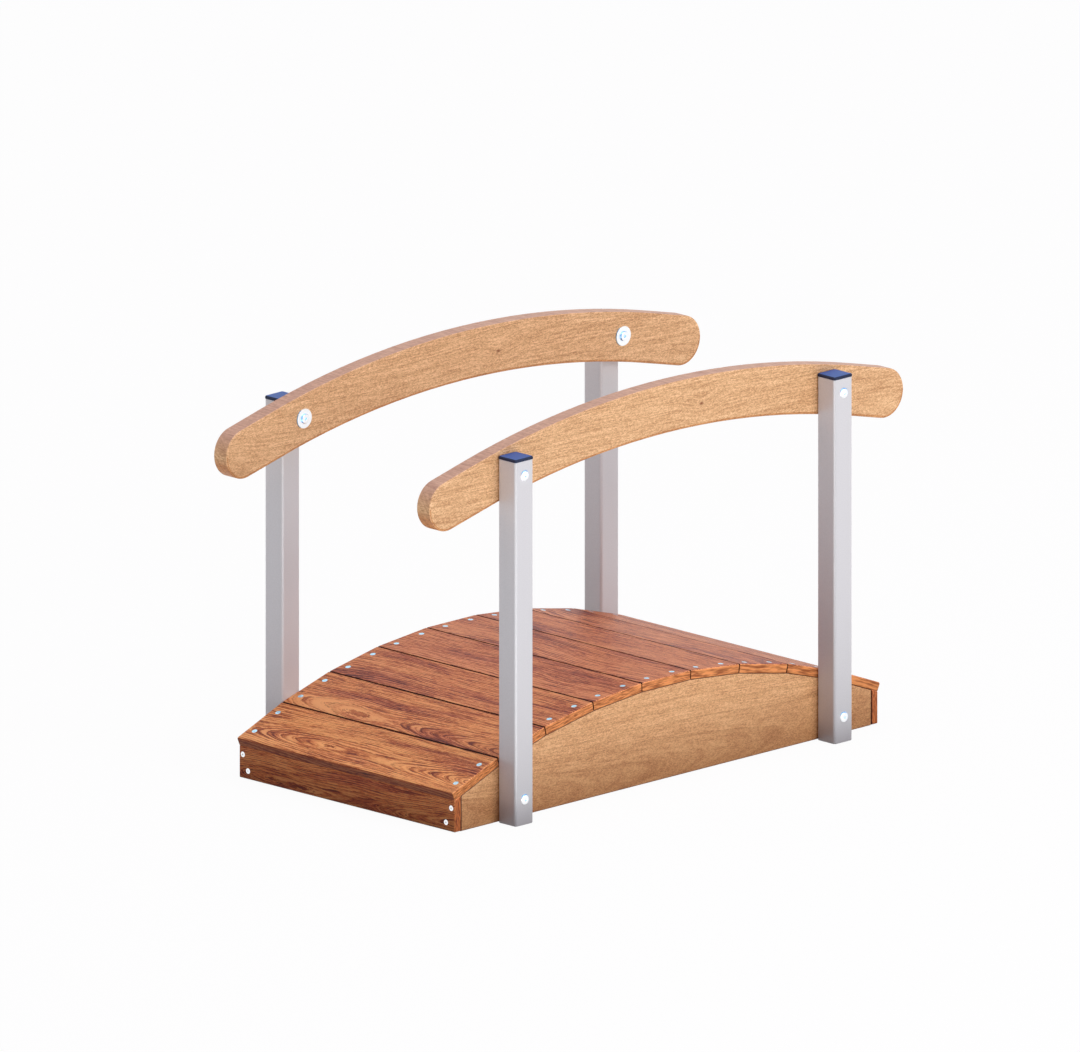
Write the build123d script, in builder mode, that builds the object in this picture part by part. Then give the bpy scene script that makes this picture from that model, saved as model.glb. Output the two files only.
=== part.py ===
from build123d import *
from math import asin, atan2, cos, degrees, hypot, sin, tan
import os

# Small arched footbridge. +X runs along the walk, +Y to its left, and Z = 0 is the ground.
# All lengths are in millimetres.

# Deck: flat planks laid across the walk, each on its own flat of the arch
plank_count = 9
plank_length = 600
plank_thickness = 18
plank_pitch = 135
plank_gap = 2
plank_edge_bevel = 1.5
plank_end_bevel = 1.5
nosing_radius = 4
arch_radius = 1450
crown_height = 190.5

# Stringers: the two side beams that carry the planks
stringer_thickness = 40
stringer_ground_gap = 1
stringer_edge_bevel = 2

# End boards: they close the stringer ends under the first and last plank
end_board_thickness = 18
end_board_ground_gap = 2
end_board_edge_bevel = 1.5

# Posts: square steel tubes that stand against the stringers
post_size = 50
post_wall = 3
post_corner_radius = 6
post_height = 741.5
post_inset = 127

# Post caps: a plate on the tube's end with a hollow plug inside it
cap_thickness = 6
cap_corner_radius = 3.5
cap_edge_bevel = 2
plug_depth = 22
plug_wall = 2.5
plug_clearance = 0.3

# Handrails: bent timber with straight run-outs and round ends, held against the inner faces of the posts
rail_depth = 100
rail_thickness = 35
rail_overhang = 216
rail_rise = 63.5
rail_bend_radius = 2200
rail_run_out = 90
rail_edge_radius = 2

# Places worked out from the sizes above
deck_half_width = plank_length / 2
flat_angle = 2 * asin(plank_pitch / 2 / arch_radius)
flat_radius = arch_radius * cos(flat_angle / 2)
arch_centre_height = crown_height - flat_radius
post_middle = deck_half_width + post_size / 2
post_bore = post_size - 2 * post_wall
rail_middle = deck_half_width - rail_thickness / 2
stringer_middle = deck_half_width - stringer_thickness / 2

side_names = {"left": 1, "right": -1}
end_names = {"front": -1, "back": 1}


def arch_corner(number):
    """Corner between two flats of the arch, counted from the front end, as (x, z)."""
    angle = (number - plank_count / 2) * flat_angle
    return arch_radius * sin(angle), arch_centre_height + arch_radius * cos(angle)


def flat_plane(number):
    """Plane of a plank's section: x along its flat of the arch, y outwards from the arch."""
    angle = (number - (plank_count + 1) / 2) * flat_angle
    middle = (flat_radius * sin(angle), 0, arch_centre_height + flat_radius * cos(angle))
    return Plane(origin=middle, x_dir=(cos(angle), 0, -sin(angle)), z_dir=(0, -1, 0))


def side_plane(offset_to_left):
    """Upright plane along the walk, at a distance to the left of the middle."""
    return Plane.XZ.offset(-offset_to_left)


arch_end = arch_corner(plank_count)[0] - plank_gap / 2
stringer_length = 2 * (arch_end - end_board_thickness)
post_spacing = stringer_length - 2 * post_inset
rail_length = post_spacing + 2 * rail_overhang

os.makedirs("parts", exist_ok=True)

# The arch: a faceted outline that the stringers and end boards are cut from
with BuildSketch() as arch:
    with BuildLine():
        flats = Polyline(*(arch_corner(number) for number in range(plank_count + 1)))
        Polyline(flats @ 1, ((flats @ 1).X, 0), ((flats @ 0).X, 0), flats @ 0)
    make_face()

# Stringers
for side, direction in side_names.items():
    with BuildPart() as stringer:
        with BuildSketch(side_plane(direction * stringer_middle)):
            add(arch.sketch)
            with Locations((0, stringer_ground_gap)):
                Rectangle(stringer_length, crown_height, align=(Align.CENTER, Align.MIN), mode=Mode.INTERSECT)
        extrude(amount=stringer_thickness / 2, both=True)
        chamfer(stringer.faces().filter_by(Axis.Y).edges(), length=stringer_edge_bevel)
    stringer.part.label = f"{side}_stringer"
    export_step(stringer.part, f"parts/{stringer.part.label}.step")

# Deck planks: the sides lean with the arch so that neighbours meet in a mitre
foot_half_width = (plank_pitch - plank_gap) / 2
top_half_width = foot_half_width + plank_thickness * tan(flat_angle / 2)
for number in range(1, plank_count + 1):
    outwards = Axis(flat_plane(number).origin, flat_plane(number).y_dir)
    with BuildPart() as plank:
        with BuildSketch(flat_plane(number)) as section:
            with BuildLine():
                Polyline(
                    (-foot_half_width, 0),
                    (foot_half_width, 0),
                    (top_half_width, plank_thickness),
                    (-top_half_width, plank_thickness),
                    close=True,
                )
            make_face()
            for corner, is_nosing in ((0, number == 1), (-1, number == plank_count)):
                top_edge = section.vertices().group_by(Axis.Y)[-1].sort_by(Axis.X)[corner]
                if is_nosing:
                    fillet(top_edge, radius=nosing_radius)
                else:
                    chamfer(top_edge, length=plank_edge_bevel)
        extrude(amount=deck_half_width, both=True)
        end_faces = plank.faces().filter_by(Axis.Y)
        chamfer([face.edges().sort_by(outwards)[-1] for face in end_faces], length=plank_end_bevel)
    plank.part.label = f"deck_plank_{number}"
    export_step(plank.part, f"parts/{plank.part.label}.step")

# End boards: the top is bevelled to the underside of the end plank
for end, direction in end_names.items():
    with BuildPart() as end_board:
        with BuildSketch(Plane.XZ):
            add(arch.sketch)
            with Locations((direction * (arch_end - end_board_thickness / 2), end_board_ground_gap)):
                Rectangle(
                    end_board_thickness, crown_height, align=(Align.CENTER, Align.MIN), mode=Mode.INTERSECT
                )
        extrude(amount=deck_half_width, both=True)
        chamfer(end_board.edges(), length=end_board_edge_bevel)
    end_board.part.label = f"{end}_end_board"
    export_step(end_board.part, f"parts/{end_board.part.label}.step")

# Posts and their caps
for end, along in end_names.items():
    for side, across in side_names.items():
        foot = Plane(origin=(along * post_spacing / 2, across * post_middle, 0))
        with BuildPart() as post:
            with BuildSketch(foot):
                RectangleRounded(post_size, post_size, post_corner_radius)
                RectangleRounded(post_bore, post_bore, post_corner_radius - post_wall, mode=Mode.SUBTRACT)
            extrude(amount=post_height)
        post.part.label = f"{end}_{side}_post"
        export_step(post.part, f"parts/{post.part.label}.step")

        plug_size = post_bore - 2 * plug_clearance
        with BuildPart() as cap:
            with BuildSketch(foot.offset(post_height)):
                RectangleRounded(post_size, post_size, cap_corner_radius)
            extrude(amount=cap_thickness)
            chamfer(cap.faces().sort_by(Axis.Z)[-1].edges(), length=cap_edge_bevel)
            with BuildSketch(foot.offset(post_height)) as plug:
                Rectangle(plug_size, plug_size)
                chamfer(plug.vertices(), length=post_corner_radius - post_wall)
                Rectangle(plug_size - 2 * plug_wall, plug_size - 2 * plug_wall, mode=Mode.SUBTRACT)
            extrude(amount=-plug_depth)
        cap.part.label = f"{end}_{side}_post_cap"
        export_step(cap.part, f"parts/{cap.part.label}.step")

# Handrails: a slot of constant depth along the bend and the straight run-outs that touch it
rail_bend_height = post_height + rail_rise - rail_depth / 2 - rail_bend_radius
rail_reach = (rail_length - rail_depth) / 2
run_out_angle = atan2(rail_run_out, rail_bend_radius)
rail_half_angle = degrees(asin(rail_reach / hypot(rail_bend_radius, rail_run_out)) - run_out_angle)
with BuildLine() as rail_course:
    bend = CenterArc((0, rail_bend_height), rail_bend_radius, 90 - rail_half_angle, 2 * rail_half_angle)
    Line(bend @ 0, bend @ 0 - (bend % 0) * rail_run_out)
    Line(bend @ 1, bend @ 1 + (bend % 1) * rail_run_out)

for side, direction in side_names.items():
    with BuildPart() as handrail:
        with BuildSketch(side_plane(direction * rail_middle)):
            SlotArc(rail_course.wire(), rail_depth)
        extrude(amount=rail_thickness / 2, both=True)
        fillet(handrail.faces().filter_by(Axis.Y).edges(), radius=rail_edge_radius)
    handrail.part.label = f"{side}_handrail"
    export_step(handrail.part, f"parts/{handrail.part.label}.step")
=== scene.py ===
"""Moon bridge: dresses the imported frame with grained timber, painted posts, caps and bright fasteners."""

import logging
import math
from dataclasses import dataclass
from enum import Enum
from typing import Iterable, Sequence

import bmesh
import bpy
from mathutils import Matrix, Vector


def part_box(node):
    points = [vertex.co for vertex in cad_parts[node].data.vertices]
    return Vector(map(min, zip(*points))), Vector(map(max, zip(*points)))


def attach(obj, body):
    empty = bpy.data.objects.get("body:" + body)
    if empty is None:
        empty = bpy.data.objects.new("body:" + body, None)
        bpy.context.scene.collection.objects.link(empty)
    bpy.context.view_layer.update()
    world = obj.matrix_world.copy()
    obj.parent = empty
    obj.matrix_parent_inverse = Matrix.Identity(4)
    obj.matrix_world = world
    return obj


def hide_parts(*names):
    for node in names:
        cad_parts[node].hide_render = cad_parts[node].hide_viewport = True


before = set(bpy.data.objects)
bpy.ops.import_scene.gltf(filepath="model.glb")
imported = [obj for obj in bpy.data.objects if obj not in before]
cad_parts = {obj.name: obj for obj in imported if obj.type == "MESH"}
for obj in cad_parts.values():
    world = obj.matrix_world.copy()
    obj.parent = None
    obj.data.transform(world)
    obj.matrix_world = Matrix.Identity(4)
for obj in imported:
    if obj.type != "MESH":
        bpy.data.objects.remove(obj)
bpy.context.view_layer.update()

Colour = tuple[float, float, float]
Triple = tuple[float, float, float]
Stops = tuple[float, ...]
Shares = tuple[tuple[float, float], ...]
Socket = bpy.types.NodeSocket
Value = float | Socket

BODY = "root"
LOG = logging.getLogger("moon_bridge")

MM = 0.001
WHITE: Colour = (1.0, 1.0, 1.0)
ORIGIN: Triple = (0.0, 0.0, 0.0)
NOISE_MEAN: Triple = (0.5, 0.5, 0.5)
BACKWARDS = Vector((1, 0, 0))
LEFTWARDS = Vector((0, 1, 0))
UPWARDS = Vector((0, 0, 1))

# Edges of a copied solid: points closer than the weld are joined, turns are in degrees
WELD = 0.01 * MM
FLAT_TURN = 1.0
HARD_TURN = 20.0
SMOOTH_TURN = 35.0
EASE_STEPS = 3
ROUND_PROFILE = 0.5

# How much a face has to point some way to be counted there, from 0 to 1
EDGE_TURN = 0.3
FACE_TURN = 0.95
END_TURN = 0.8
JOINT_TURN = 0.4
SOAKED_TURN = 0.6

# Tone of a board's edge that has soaked up more oil than any face
SOAKED = 2.0

# Recesses in the heads of screws and bolts
RECESS_CORNERS = 6
STAR_SHARE = 0.16


class Slot(Enum):
    """The material slots."""

    DECK = "deck_hardwood"
    TIMBER = "light_timber"
    STEEL = "post_steel"
    PLASTIC = "cap_plastic"
    ZINC = "zinc_hardware"


class Mark(Enum):
    """Mesh attributes that the finishes read."""

    TIMBER = "timber"
    END_GRAIN = "end_grain"
    # Painted shade: faces in the joints, under the planks, on the caps' sides and on the fasteners' rims
    JOINT = "joint"
    KNOT = "knot"
    # How far a board is painted in shade, and its soaked edge
    BOARD_TONE = "board_tone"
    # Edges with a painted highlight, and the rails' lower edges with painted shade
    EDGE = "edge"


class Named(Enum):
    """A choice whose name is part of the node names."""

    @property
    def word(self) -> str:
        """Lower-case name, as in the node names."""
        return self.name.lower()


class Side(Named):
    """The two long sides, as the sign of Y."""

    LEFT = 1
    RIGHT = -1


class End(Named):
    """The two ends of the walk, as the sign of X."""

    FRONT = -1
    BACK = 1


class Member(Named):
    """The timbers that run along each side."""

    HANDRAIL = "handrail"
    STRINGER = "stringer"


class Outline(Enum):
    """Cross-section of a ring of a turned head."""

    ROUND = "round"
    HEXAGON = "hexagon"
    STAR = "star"


@dataclass(frozen=True)
class Waves:
    """Cloudy noise with its own scale along each axis.

    Args:
        stretch: waves in a metre along each axis.
        detail: how many finer layers are added.
        roughness: how strong the finer layers are.
    """

    stretch: Triple
    detail: float = 1.0
    roughness: float = 0.5


@dataclass(frozen=True)
class Span:
    """A stretch of a value, which may run downwards.

    Args:
        start: the value where it starts.
        end: the value where it ends.
    """

    start: float
    end: float


@dataclass(frozen=True)
class Relief:
    """Fine relief of a surface.

    Args:
        depth: its full depth in metres.
        strength: share of it that is used.
    """

    depth: float
    strength: float


UNIT = Span(0.0, 1.0)


def srgb(red: int, green: int, blue: int) -> Colour:
    """Linear colour of a display colour, by the display standard's curve.

    Args:
        red, green, blue: display values from 0 to 255.

    Returns:
        The linear colour that shader sockets take.
    """

    def linear(value: int) -> float:
        """Linear value of one display channel."""
        share = value / 255
        return share / 12.92 if share <= 0.04045 else ((share + 0.055) / 1.055) ** 2.4

    return linear(red), linear(green), linear(blue)


class Graph:
    """Short way to lay out the nodes of one material."""

    def __init__(self, name: str) -> None:
        """Makes an empty material.

        Args:
            name: the material's name.
        """
        self.material = bpy.data.materials.new(name)
        self.material.use_nodes = True
        self.tree = self.material.node_tree
        self.tree.nodes.clear()

    def feed(self, socket: Socket, value: Value | Sequence[float]) -> None:
        """Links a socket, or sets it.

        Args:
            socket: the input to feed.
            value: an output to link, or a constant.
        """
        if isinstance(value, Socket):
            self.tree.links.new(value, socket)
        elif socket.type == "RGBA":
            socket.default_value = (*value, 1.0)
        else:
            socket.default_value = value

    def feed_all(self, node: bpy.types.Node, *values: Value | Sequence[float]) -> bpy.types.Node:
        """Feeds a node's inputs in their order.

        Args:
            node: the node.
            values: an output or a constant for each of its first inputs.

        Returns:
            The node.
        """
        for socket, value in zip(node.inputs, values):
            self.feed(socket, value)
        return node

    def add(self, kind: str, **inputs: Value | Sequence[float]) -> bpy.types.Node:
        """Adds a node.

        Args:
            kind: the node's class.
            inputs: values by socket name, with underscores for spaces.

        Returns:
            The new node.
        """
        node = self.tree.nodes.new(kind)
        for name, value in inputs.items():
            self.feed(node.inputs[name.replace("_", " ")], value)
        return node

    def mark(self, mark: Mark, output: str = "Fac") -> Socket:
        """Value of a mesh attribute.

        Args:
            mark: the attribute.
            output: Fac for a number, Vector for three.

        Returns:
            The value.
        """
        node = self.add("ShaderNodeAttribute")
        node.attribute_name = mark.value
        return node.outputs[output]

    def parts(self, vector: Socket) -> dict[str, Socket]:
        """The X, Y and Z of a vector."""
        return dict(self.add("ShaderNodeSeparateXYZ", Vector=vector).outputs.items())

    def maths(self, operation: str, *operands: Value) -> Socket:
        """One arithmetic step.

        Args:
            operation: the operation's name.
            operands: its one to three operands.

        Returns:
            The result.
        """
        node = self.add("ShaderNodeMath")
        node.operation = operation
        return self.feed_all(node, *operands).outputs["Value"]

    def vector(self, operation: str, *operands: Socket | Sequence[float]) -> Socket:
        """One step of vector arithmetic.

        Args:
            operation: the operation's name.
            operands: its one or two operands.

        Returns:
            The result, which is a number for a length.
        """
        node = self.add("ShaderNodeVectorMath")
        node.operation = operation
        return self.feed_all(node, *operands).outputs["Value" if operation == "LENGTH" else "Vector"]

    def weighted(self, *pairs: tuple[Socket, float]) -> Value:
        """Sum of values by their shares.

        Args:
            pairs: each value with its share.

        Returns:
            The sum.
        """
        total: Value = 0.0
        for value, share in pairs:
            total = self.maths("MULTIPLY_ADD", value, share, total)
        return total

    def noise(self, place: Socket, waves: Waves, output: str = "Fac") -> Socket:
        """Cloudy noise.

        Args:
            place: where it is read.
            waves: its scales and finer layers.
            output: Fac for a number, Color for three.

        Returns:
            The noise, from 0 to 1.
        """
        node = self.add(
            "ShaderNodeTexNoise",
            Vector=self.vector("MULTIPLY", place, waves.stretch),
            Scale=1.0,
            Detail=waves.detail,
            Roughness=waves.roughness,
        )
        return node.outputs[output]

    def cells(self, place: Socket, stretch: Triple) -> Socket:
        """Even random value for each cell of a loose packing.

        Args:
            place: where it is read.
            stretch: cells in a metre along each axis.

        Returns:
            The value, from 0 to 1.
        """
        cell = self.add("ShaderNodeTexVoronoi", Vector=self.vector("MULTIPLY", place, stretch), Scale=1.0)
        return self.add("ShaderNodeSeparateColor", Color=cell.outputs["Color"]).outputs["Red"]

    def figure(self, drift: Waves, sway: Triple, bulge: Value = 0.0) -> tuple[Socket, Socket]:
        """Coordinates that follow the growth rings of a wandering log.

        Args:
            drift: waves of the wandering along each axis of the log.
            sway: how far it wanders, in metres.
            bulge: how far the rings are pushed out, in metres.

        Returns:
            The place in the log, and the same as distance along, distance from the pith and place across.
        """
        place = self.mark(Mark.TIMBER, "Vector")
        wander = self.vector("SUBTRACT", self.noise(place, drift, "Color"), NOISE_MEAN)
        bent = self.parts(self.vector("ADD", place, self.vector("MULTIPLY", wander, sway)))
        reach = self.maths("MULTIPLY", bent["Y"], bent["Y"])
        reach = self.maths("SQRT", self.maths("MULTIPLY_ADD", bent["Z"], bent["Z"], reach))
        reach = self.maths("ADD", reach, bulge)
        return place, self.add("ShaderNodeCombineXYZ", X=bent["X"], Y=reach, Z=bent["Y"]).outputs["Vector"]

    def ramp(self, factor: Socket, stops: Stops, colours: Sequence[Colour]) -> Socket:
        """Colours along a value.

        Args:
            factor: the value.
            stops: places from 0 to 1.
            colours: the colour at each place.

        Returns:
            The colour.
        """
        node = self.add("ShaderNodeValToRGB", Fac=factor)
        marks = node.color_ramp.elements
        half_way = 0.5
        while len(marks) < len(stops):
            marks.new(half_way)
        for mark, place, colour in zip(marks, stops, colours):
            mark.position = place
            mark.color = (*colour, 1.0)
        return node.outputs["Color"]

    def span(self, value: Socket, source: Span, result: Span = UNIT) -> Socket:
        """Moves a value from one span to another, held at its ends.

        Args:
            value: the value.
            source: the span that it comes from.
            result: the span that it goes to.

        Returns:
            The moved value.
        """
        node = self.add("ShaderNodeMapRange")
        ends = (source.start, source.end, result.start, result.end)
        return self.feed_all(node, value, *ends).outputs["Result"]

    def blend(self, kind: str, factor: Value, first: Socket | Colour, second: Socket | Colour) -> Socket:
        """Blends two colours.

        Args:
            kind: the blend's name, such as MIX or MULTIPLY.
            factor: how much of the second colour is used.
            first, second: the colours.

        Returns:
            The blended colour.
        """
        node = self.add("ShaderNodeMix")
        node.data_type = "RGBA"
        node.blend_type = kind
        self.feed(node.inputs["Factor"], factor)
        for socket, colour in zip((s for s in node.inputs if s.type == "RGBA"), (first, second)):
            self.feed(socket, colour)
        return next(socket for socket in node.outputs if socket.type == "RGBA")

    def tint(self, colour: Socket, share: Value, by: Colour) -> Socket:
        """Colour that is multiplied by another, as far as a share says."""
        return self.blend("MULTIPLY", share, colour, by)

    def bump(self, height: Socket, relief: Relief) -> Socket:
        """Normal of a surface with fine relief.

        Args:
            height: the relief's height from 0 to 1.
            relief: its depth and strength.

        Returns:
            The normal.
        """
        node = self.add("ShaderNodeBump", Height=height, Distance=relief.depth, Strength=relief.strength)
        return node.outputs["Normal"]

    def mix_shaders(self, share: Value, first: Socket, second: Socket) -> Socket:
        """Shader that is the second one by a share, and else the first."""
        return self.feed_all(self.add("ShaderNodeMixShader"), share, first, second).outputs["Shader"]

    def principled(self, **inputs: Value | Sequence[float]) -> bpy.types.Material:
        """Closes the graph with one surface shader.

        Args:
            inputs: values by socket name, with underscores for spaces.

        Returns:
            The finished material.
        """
        self.surface(self.add("ShaderNodeBsdfPrincipled", **inputs).outputs["BSDF"])
        return self.material

    def surface(self, shader: Socket) -> None:
        """Sends a shader to the material's output."""
        self.add("ShaderNodeOutputMaterial", Surface=shader)


class WorldGraph(Graph):
    """The same short way for the world's nodes."""

    def __init__(self, world: bpy.types.World) -> None:
        """Takes over a world's node tree.

        Args:
            world: the world.
        """
        world.use_nodes = True
        self.tree = world.node_tree
        self.tree.nodes.clear()

    def surface(self, shader: Socket) -> None:
        """Sends a shader to the world's output."""
        self.add("ShaderNodeOutputWorld", Surface=shader)


@dataclass(frozen=True)
class DeckHardwood:
    """Oiled reddish hardwood: golden and purple zones, crisp growth lines and short dark dashes."""

    name: str = "deck_hardwood"

    # Colours of the figure, and their places along its tone from the darkest to the palest
    pale: Colour = srgb(252, 183, 114)
    middle: Colour = srgb(225, 141, 81)
    deep: Colour = srgb(189, 104, 59)
    dark: Colour = srgb(114, 53, 38)
    tone_stops: Stops = (0.43, 0.467, 0.50, 0.54)

    # Tints of zones, growth lines, boards with painted shade, soaked edges, edges with a painted highlight
    # and joints with painted shade, and where they set in
    patch: Colour = (0.80, 0.66, 0.78)
    line: Colour = (0.40, 0.28, 0.26)
    # Painted shade on the planks further back and on the back end board, which get less light
    shaded_board: Colour = (0.75, 0.61, 0.70)
    soaked: Colour = (0.66, 0.56, 0.58)
    # Painted highlight on the end bevels
    edge_highlight: Colour = (1.25, 1.4, 1.6)
    # Painted shade on the faces in the joints
    joint: Colour = (0.16, 0.12, 0.10)
    patch_zones: Span = Span(0.48, 0.34)
    shaded_tones: Span = UNIT
    soaked_tones: Span = Span(1.0, SOAKED)

    # Sawn ends
    end_pale: Colour = srgb(248, 162, 98)
    end_dark: Colour = srgb(166, 94, 54)
    end_stops: Stops = (0.38, 0.60)
    end_specks: Waves = Waves((300.0, 45.0, 420.0), detail=2.0, roughness=0.6)

    # Figure: how the log wanders, the layers of its grain and their shares in the tone
    drift: Waves = Waves((2.6, 5.0, 5.0))
    sway: Triple = (0.0, 0.036, 0.085)
    zones: Waves = Waves((3.5, 32.0, 9.0), detail=2.0)
    streaks: Waves = Waves((16.0, 220.0, 30.0), detail=6.0, roughness=0.78)
    threads: Waves = Waves((12.0, 780.0, 14.0))
    dashes: Waves = Waves((80.0, 480.0, 160.0), detail=2.0, roughness=0.6)
    zone_share: float = 0.15
    top_sheen_streak_share: float = 0.34
    thread_share: float = 0.24
    dash_share: float = 0.22
    ring_share: float = 0.05
    rings_in_metre: float = 210.0
    ring_jitter: float = 1.6
    line_sharpness: float = 3.0
    line_dashes: Span = Span(0.42, 0.60)

    # Oiled surface
    roughness: float = 0.42
    line_roughness: float = 0.2
    gloss: float = 0.15
    relief: Relief = Relief(depth=0.3 * MM, strength=0.2)

    def material(self) -> bpy.types.Material:
        """Builds the finish.

        Returns:
            The material, which reads each timber's own axes.
        """
        graph = Graph(self.name)
        place, figure = graph.figure(self.drift, self.sway)
        zones = graph.noise(figure, self.zones)
        streaks = graph.noise(figure, self.streaks)
        dashes = graph.noise(place, self.dashes)
        rings = graph.maths("MULTIPLY", graph.parts(figure)["Y"], self.rings_in_metre)
        rings = graph.maths("FRACT", graph.maths("MULTIPLY_ADD", streaks, self.ring_jitter, rings))
        tone = graph.weighted(
            (zones, self.zone_share),
            (streaks, self.top_sheen_streak_share),
            (graph.noise(figure, self.threads), self.thread_share),
            (dashes, self.dash_share),
            (graph.maths("SUBTRACT", 1.0, rings), self.ring_share),
        )
        colour = graph.ramp(tone, self.tone_stops, (self.dark, self.deep, self.middle, self.pale))
        colour = graph.tint(colour, graph.span(zones, self.patch_zones), self.patch)
        lines = graph.maths("POWER", rings, self.line_sharpness)
        lines = graph.maths("MULTIPLY", lines, graph.span(dashes, self.line_dashes))
        colour = graph.tint(colour, lines, self.line)
        # Boards further back get painted shade, and soaked edges are darker still
        board_tone = graph.mark(Mark.BOARD_TONE)
        colour = graph.tint(colour, graph.span(board_tone, self.shaded_tones), self.shaded_board)
        colour = graph.tint(colour, graph.span(board_tone, self.soaked_tones), self.soaked)
        specks = graph.noise(place, self.end_specks)
        sawn = graph.ramp(specks, self.end_stops, (self.end_dark, self.end_pale))
        colour = graph.blend("MIX", graph.mark(Mark.END_GRAIN), colour, sawn)
        # The end bevels get a painted highlight, and the faces in the joints painted shade
        colour = graph.tint(colour, graph.mark(Mark.EDGE), self.edge_highlight)
        colour = graph.tint(colour, graph.mark(Mark.JOINT), self.joint)
        return graph.principled(
            Base_Color=colour,
            Roughness=graph.maths("MULTIPLY_ADD", lines, self.line_roughness, self.roughness),
            Specular_IOR_Level=self.gloss,
            Normal=graph.bump(graph.maths("SUBTRACT", streaks, lines), self.relief),
        )


@dataclass(frozen=True)
class LightTimber:
    """Varnished pale hardwood: fine flecks, faint growth rings, a painted sheen on the tops and painted
    shade on the undersides.
    """

    name: str = "light_timber"

    # Colours of the figure, and their places along its tone from the darkest to the palest
    pale: Colour = srgb(248, 203, 154)
    middle: Colour = srgb(222, 173, 125)
    deep: Colour = srgb(188, 136, 90)
    tone_stops: Stops = (0.29, 0.50, 0.71)

    # Figure: how the log wanders, the layers of its grain and their shares in the tone
    drift: Waves = Waves((1.2, 5.0, 5.0))
    sway: Triple = (0.0, 0.03, 0.06)
    zones: Waves = Waves((3.0, 45.0, 8.0), detail=2.0)
    threads: Waves = Waves((14.0, 430.0, 20.0), detail=2.0)
    ray_cells: Triple = (330.0, 640.0, 160.0)
    zone_share: float = 0.13
    thread_share: float = 0.54
    ray_share: float = 0.33

    # Growth rings and pores
    ring: Colour = (0.82, 0.76, 0.70)
    rings_in_metre: float = 60.0
    ring_sharpness: float = 7.0
    ring_strength: float = 0.7
    fleck: Colour = (0.74, 0.66, 0.58)
    pores: Waves = Waves((40.0, 600.0, 25.0))
    pore_span: Span = Span(0.62, 0.77)

    # Knot, by the distance from it in metres: its dark heart, and how far it pushes the rings out
    has_knot: bool = False
    knot: Colour = (0.44, 0.28, 0.20)
    knot_heart: Span = Span(4.5 * MM, 1.5 * MM)
    knot_reach: Span = Span(45.0 * MM, 0.0)
    knot_bulge: Span = Span(0.0, 14.0 * MM)

    # Painted light: a sheen on the tops, shade on the undersides, a highlight on the upper edges, and shade
    # on the lower edges and at the foot
    # Painted sheen on the tops
    top_sheen: Colour = srgb(218, 176, 150)
    top_sheen_streak: Colour = srgb(184, 140, 122)
    streaks: Waves = Waves((330.0, 30.0, 20.0))
    top_sheen_streak_stops: Stops = (0.35, 0.65)
    top_sheen_share: float = 0.75
    # Painted shade on the undersides
    underside_shade: Colour = (0.72, 0.50, 0.32)
    edge_highlight: Colour = (1.12, 1.15, 1.2)
    # Painted shade along the lower edges
    lower_edge_shade: Colour = (0.78, 0.57, 0.37)
    lower_strip: Span = Span(0.0, -1.0)
    # Painted shade towards the foot, and the height where it fades out
    damp: Colour = (0.74, 0.62, 0.52)
    damp_rise: Span = Span(0.12, 0.0)
    # Painted shade on the faces in the joints and under the planks
    joint: Colour = (0.26, 0.20, 0.17)

    # Parts of the normal by which the painted light finds edges, tops and undersides
    edge_starts: Span = Span(0.2, 0.5)
    edge_ends: Span = Span(0.97, 0.8)
    edge_rises: Span = Span(0.1, 0.4)
    top_lies: Span = Span(0.6, 0.3)
    top_rises: Span = Span(0.0, 0.8)
    underside_falls: Span = Span(-0.05, -0.4)

    # Varnished surface
    roughness: float = 0.46
    pore_roughness: float = 0.12
    gloss: float = 0.4
    relief: Relief = Relief(depth=0.3 * MM, strength=0.2)

    def material(self) -> bpy.types.Material:
        """Builds the finish.

        Returns:
            The material, which reads each timber's own axes.
        """
        graph = Graph(self.name)
        bulge = self.by_knot(graph, self.knot_reach, self.knot_bulge)
        place, figure = graph.figure(self.drift, self.sway, bulge)
        threads = graph.noise(figure, self.threads)
        tone = graph.weighted(
            (graph.noise(figure, self.zones), self.zone_share),
            (threads, self.thread_share),
            (graph.cells(place, self.ray_cells), self.ray_share),
        )
        colour = graph.ramp(tone, self.tone_stops, (self.deep, self.middle, self.pale))
        rings = graph.maths("MULTIPLY", graph.parts(figure)["Y"], self.rings_in_metre)
        lines = graph.maths("POWER", graph.maths("FRACT", rings), self.ring_sharpness)
        colour = graph.tint(colour, graph.maths("MULTIPLY", lines, self.ring_strength), self.ring)
        pores = graph.span(graph.noise(place, self.pores), self.pore_span)
        colour = graph.tint(colour, pores, self.fleck)
        colour = graph.tint(colour, self.by_knot(graph, self.knot_heart), self.knot)
        colour = self.paint_light_and_shade(graph, place, colour)
        # The marked faces get painted shade where the timber meets other parts
        return graph.principled(
            Base_Color=graph.tint(colour, graph.mark(Mark.JOINT), self.joint),
            Roughness=graph.maths("MULTIPLY_ADD", pores, self.pore_roughness, self.roughness),
            Specular_IOR_Level=self.gloss,
            Normal=graph.bump(graph.maths("SUBTRACT", threads, pores), self.relief),
        )

    def by_knot(self, graph: Graph, source: Span, result: Span = UNIT) -> Value:
        """Value that follows the distance from the knot.

        Args:
            graph: the finish's graph.
            source: the span of distances.
            result: the span of values.

        Returns:
            The value, which is 0 in timber without a knot.
        """
        if not self.has_knot:
            return 0.0
        return graph.span(graph.vector("LENGTH", graph.mark(Mark.KNOT, "Vector")), source, result)

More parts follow.
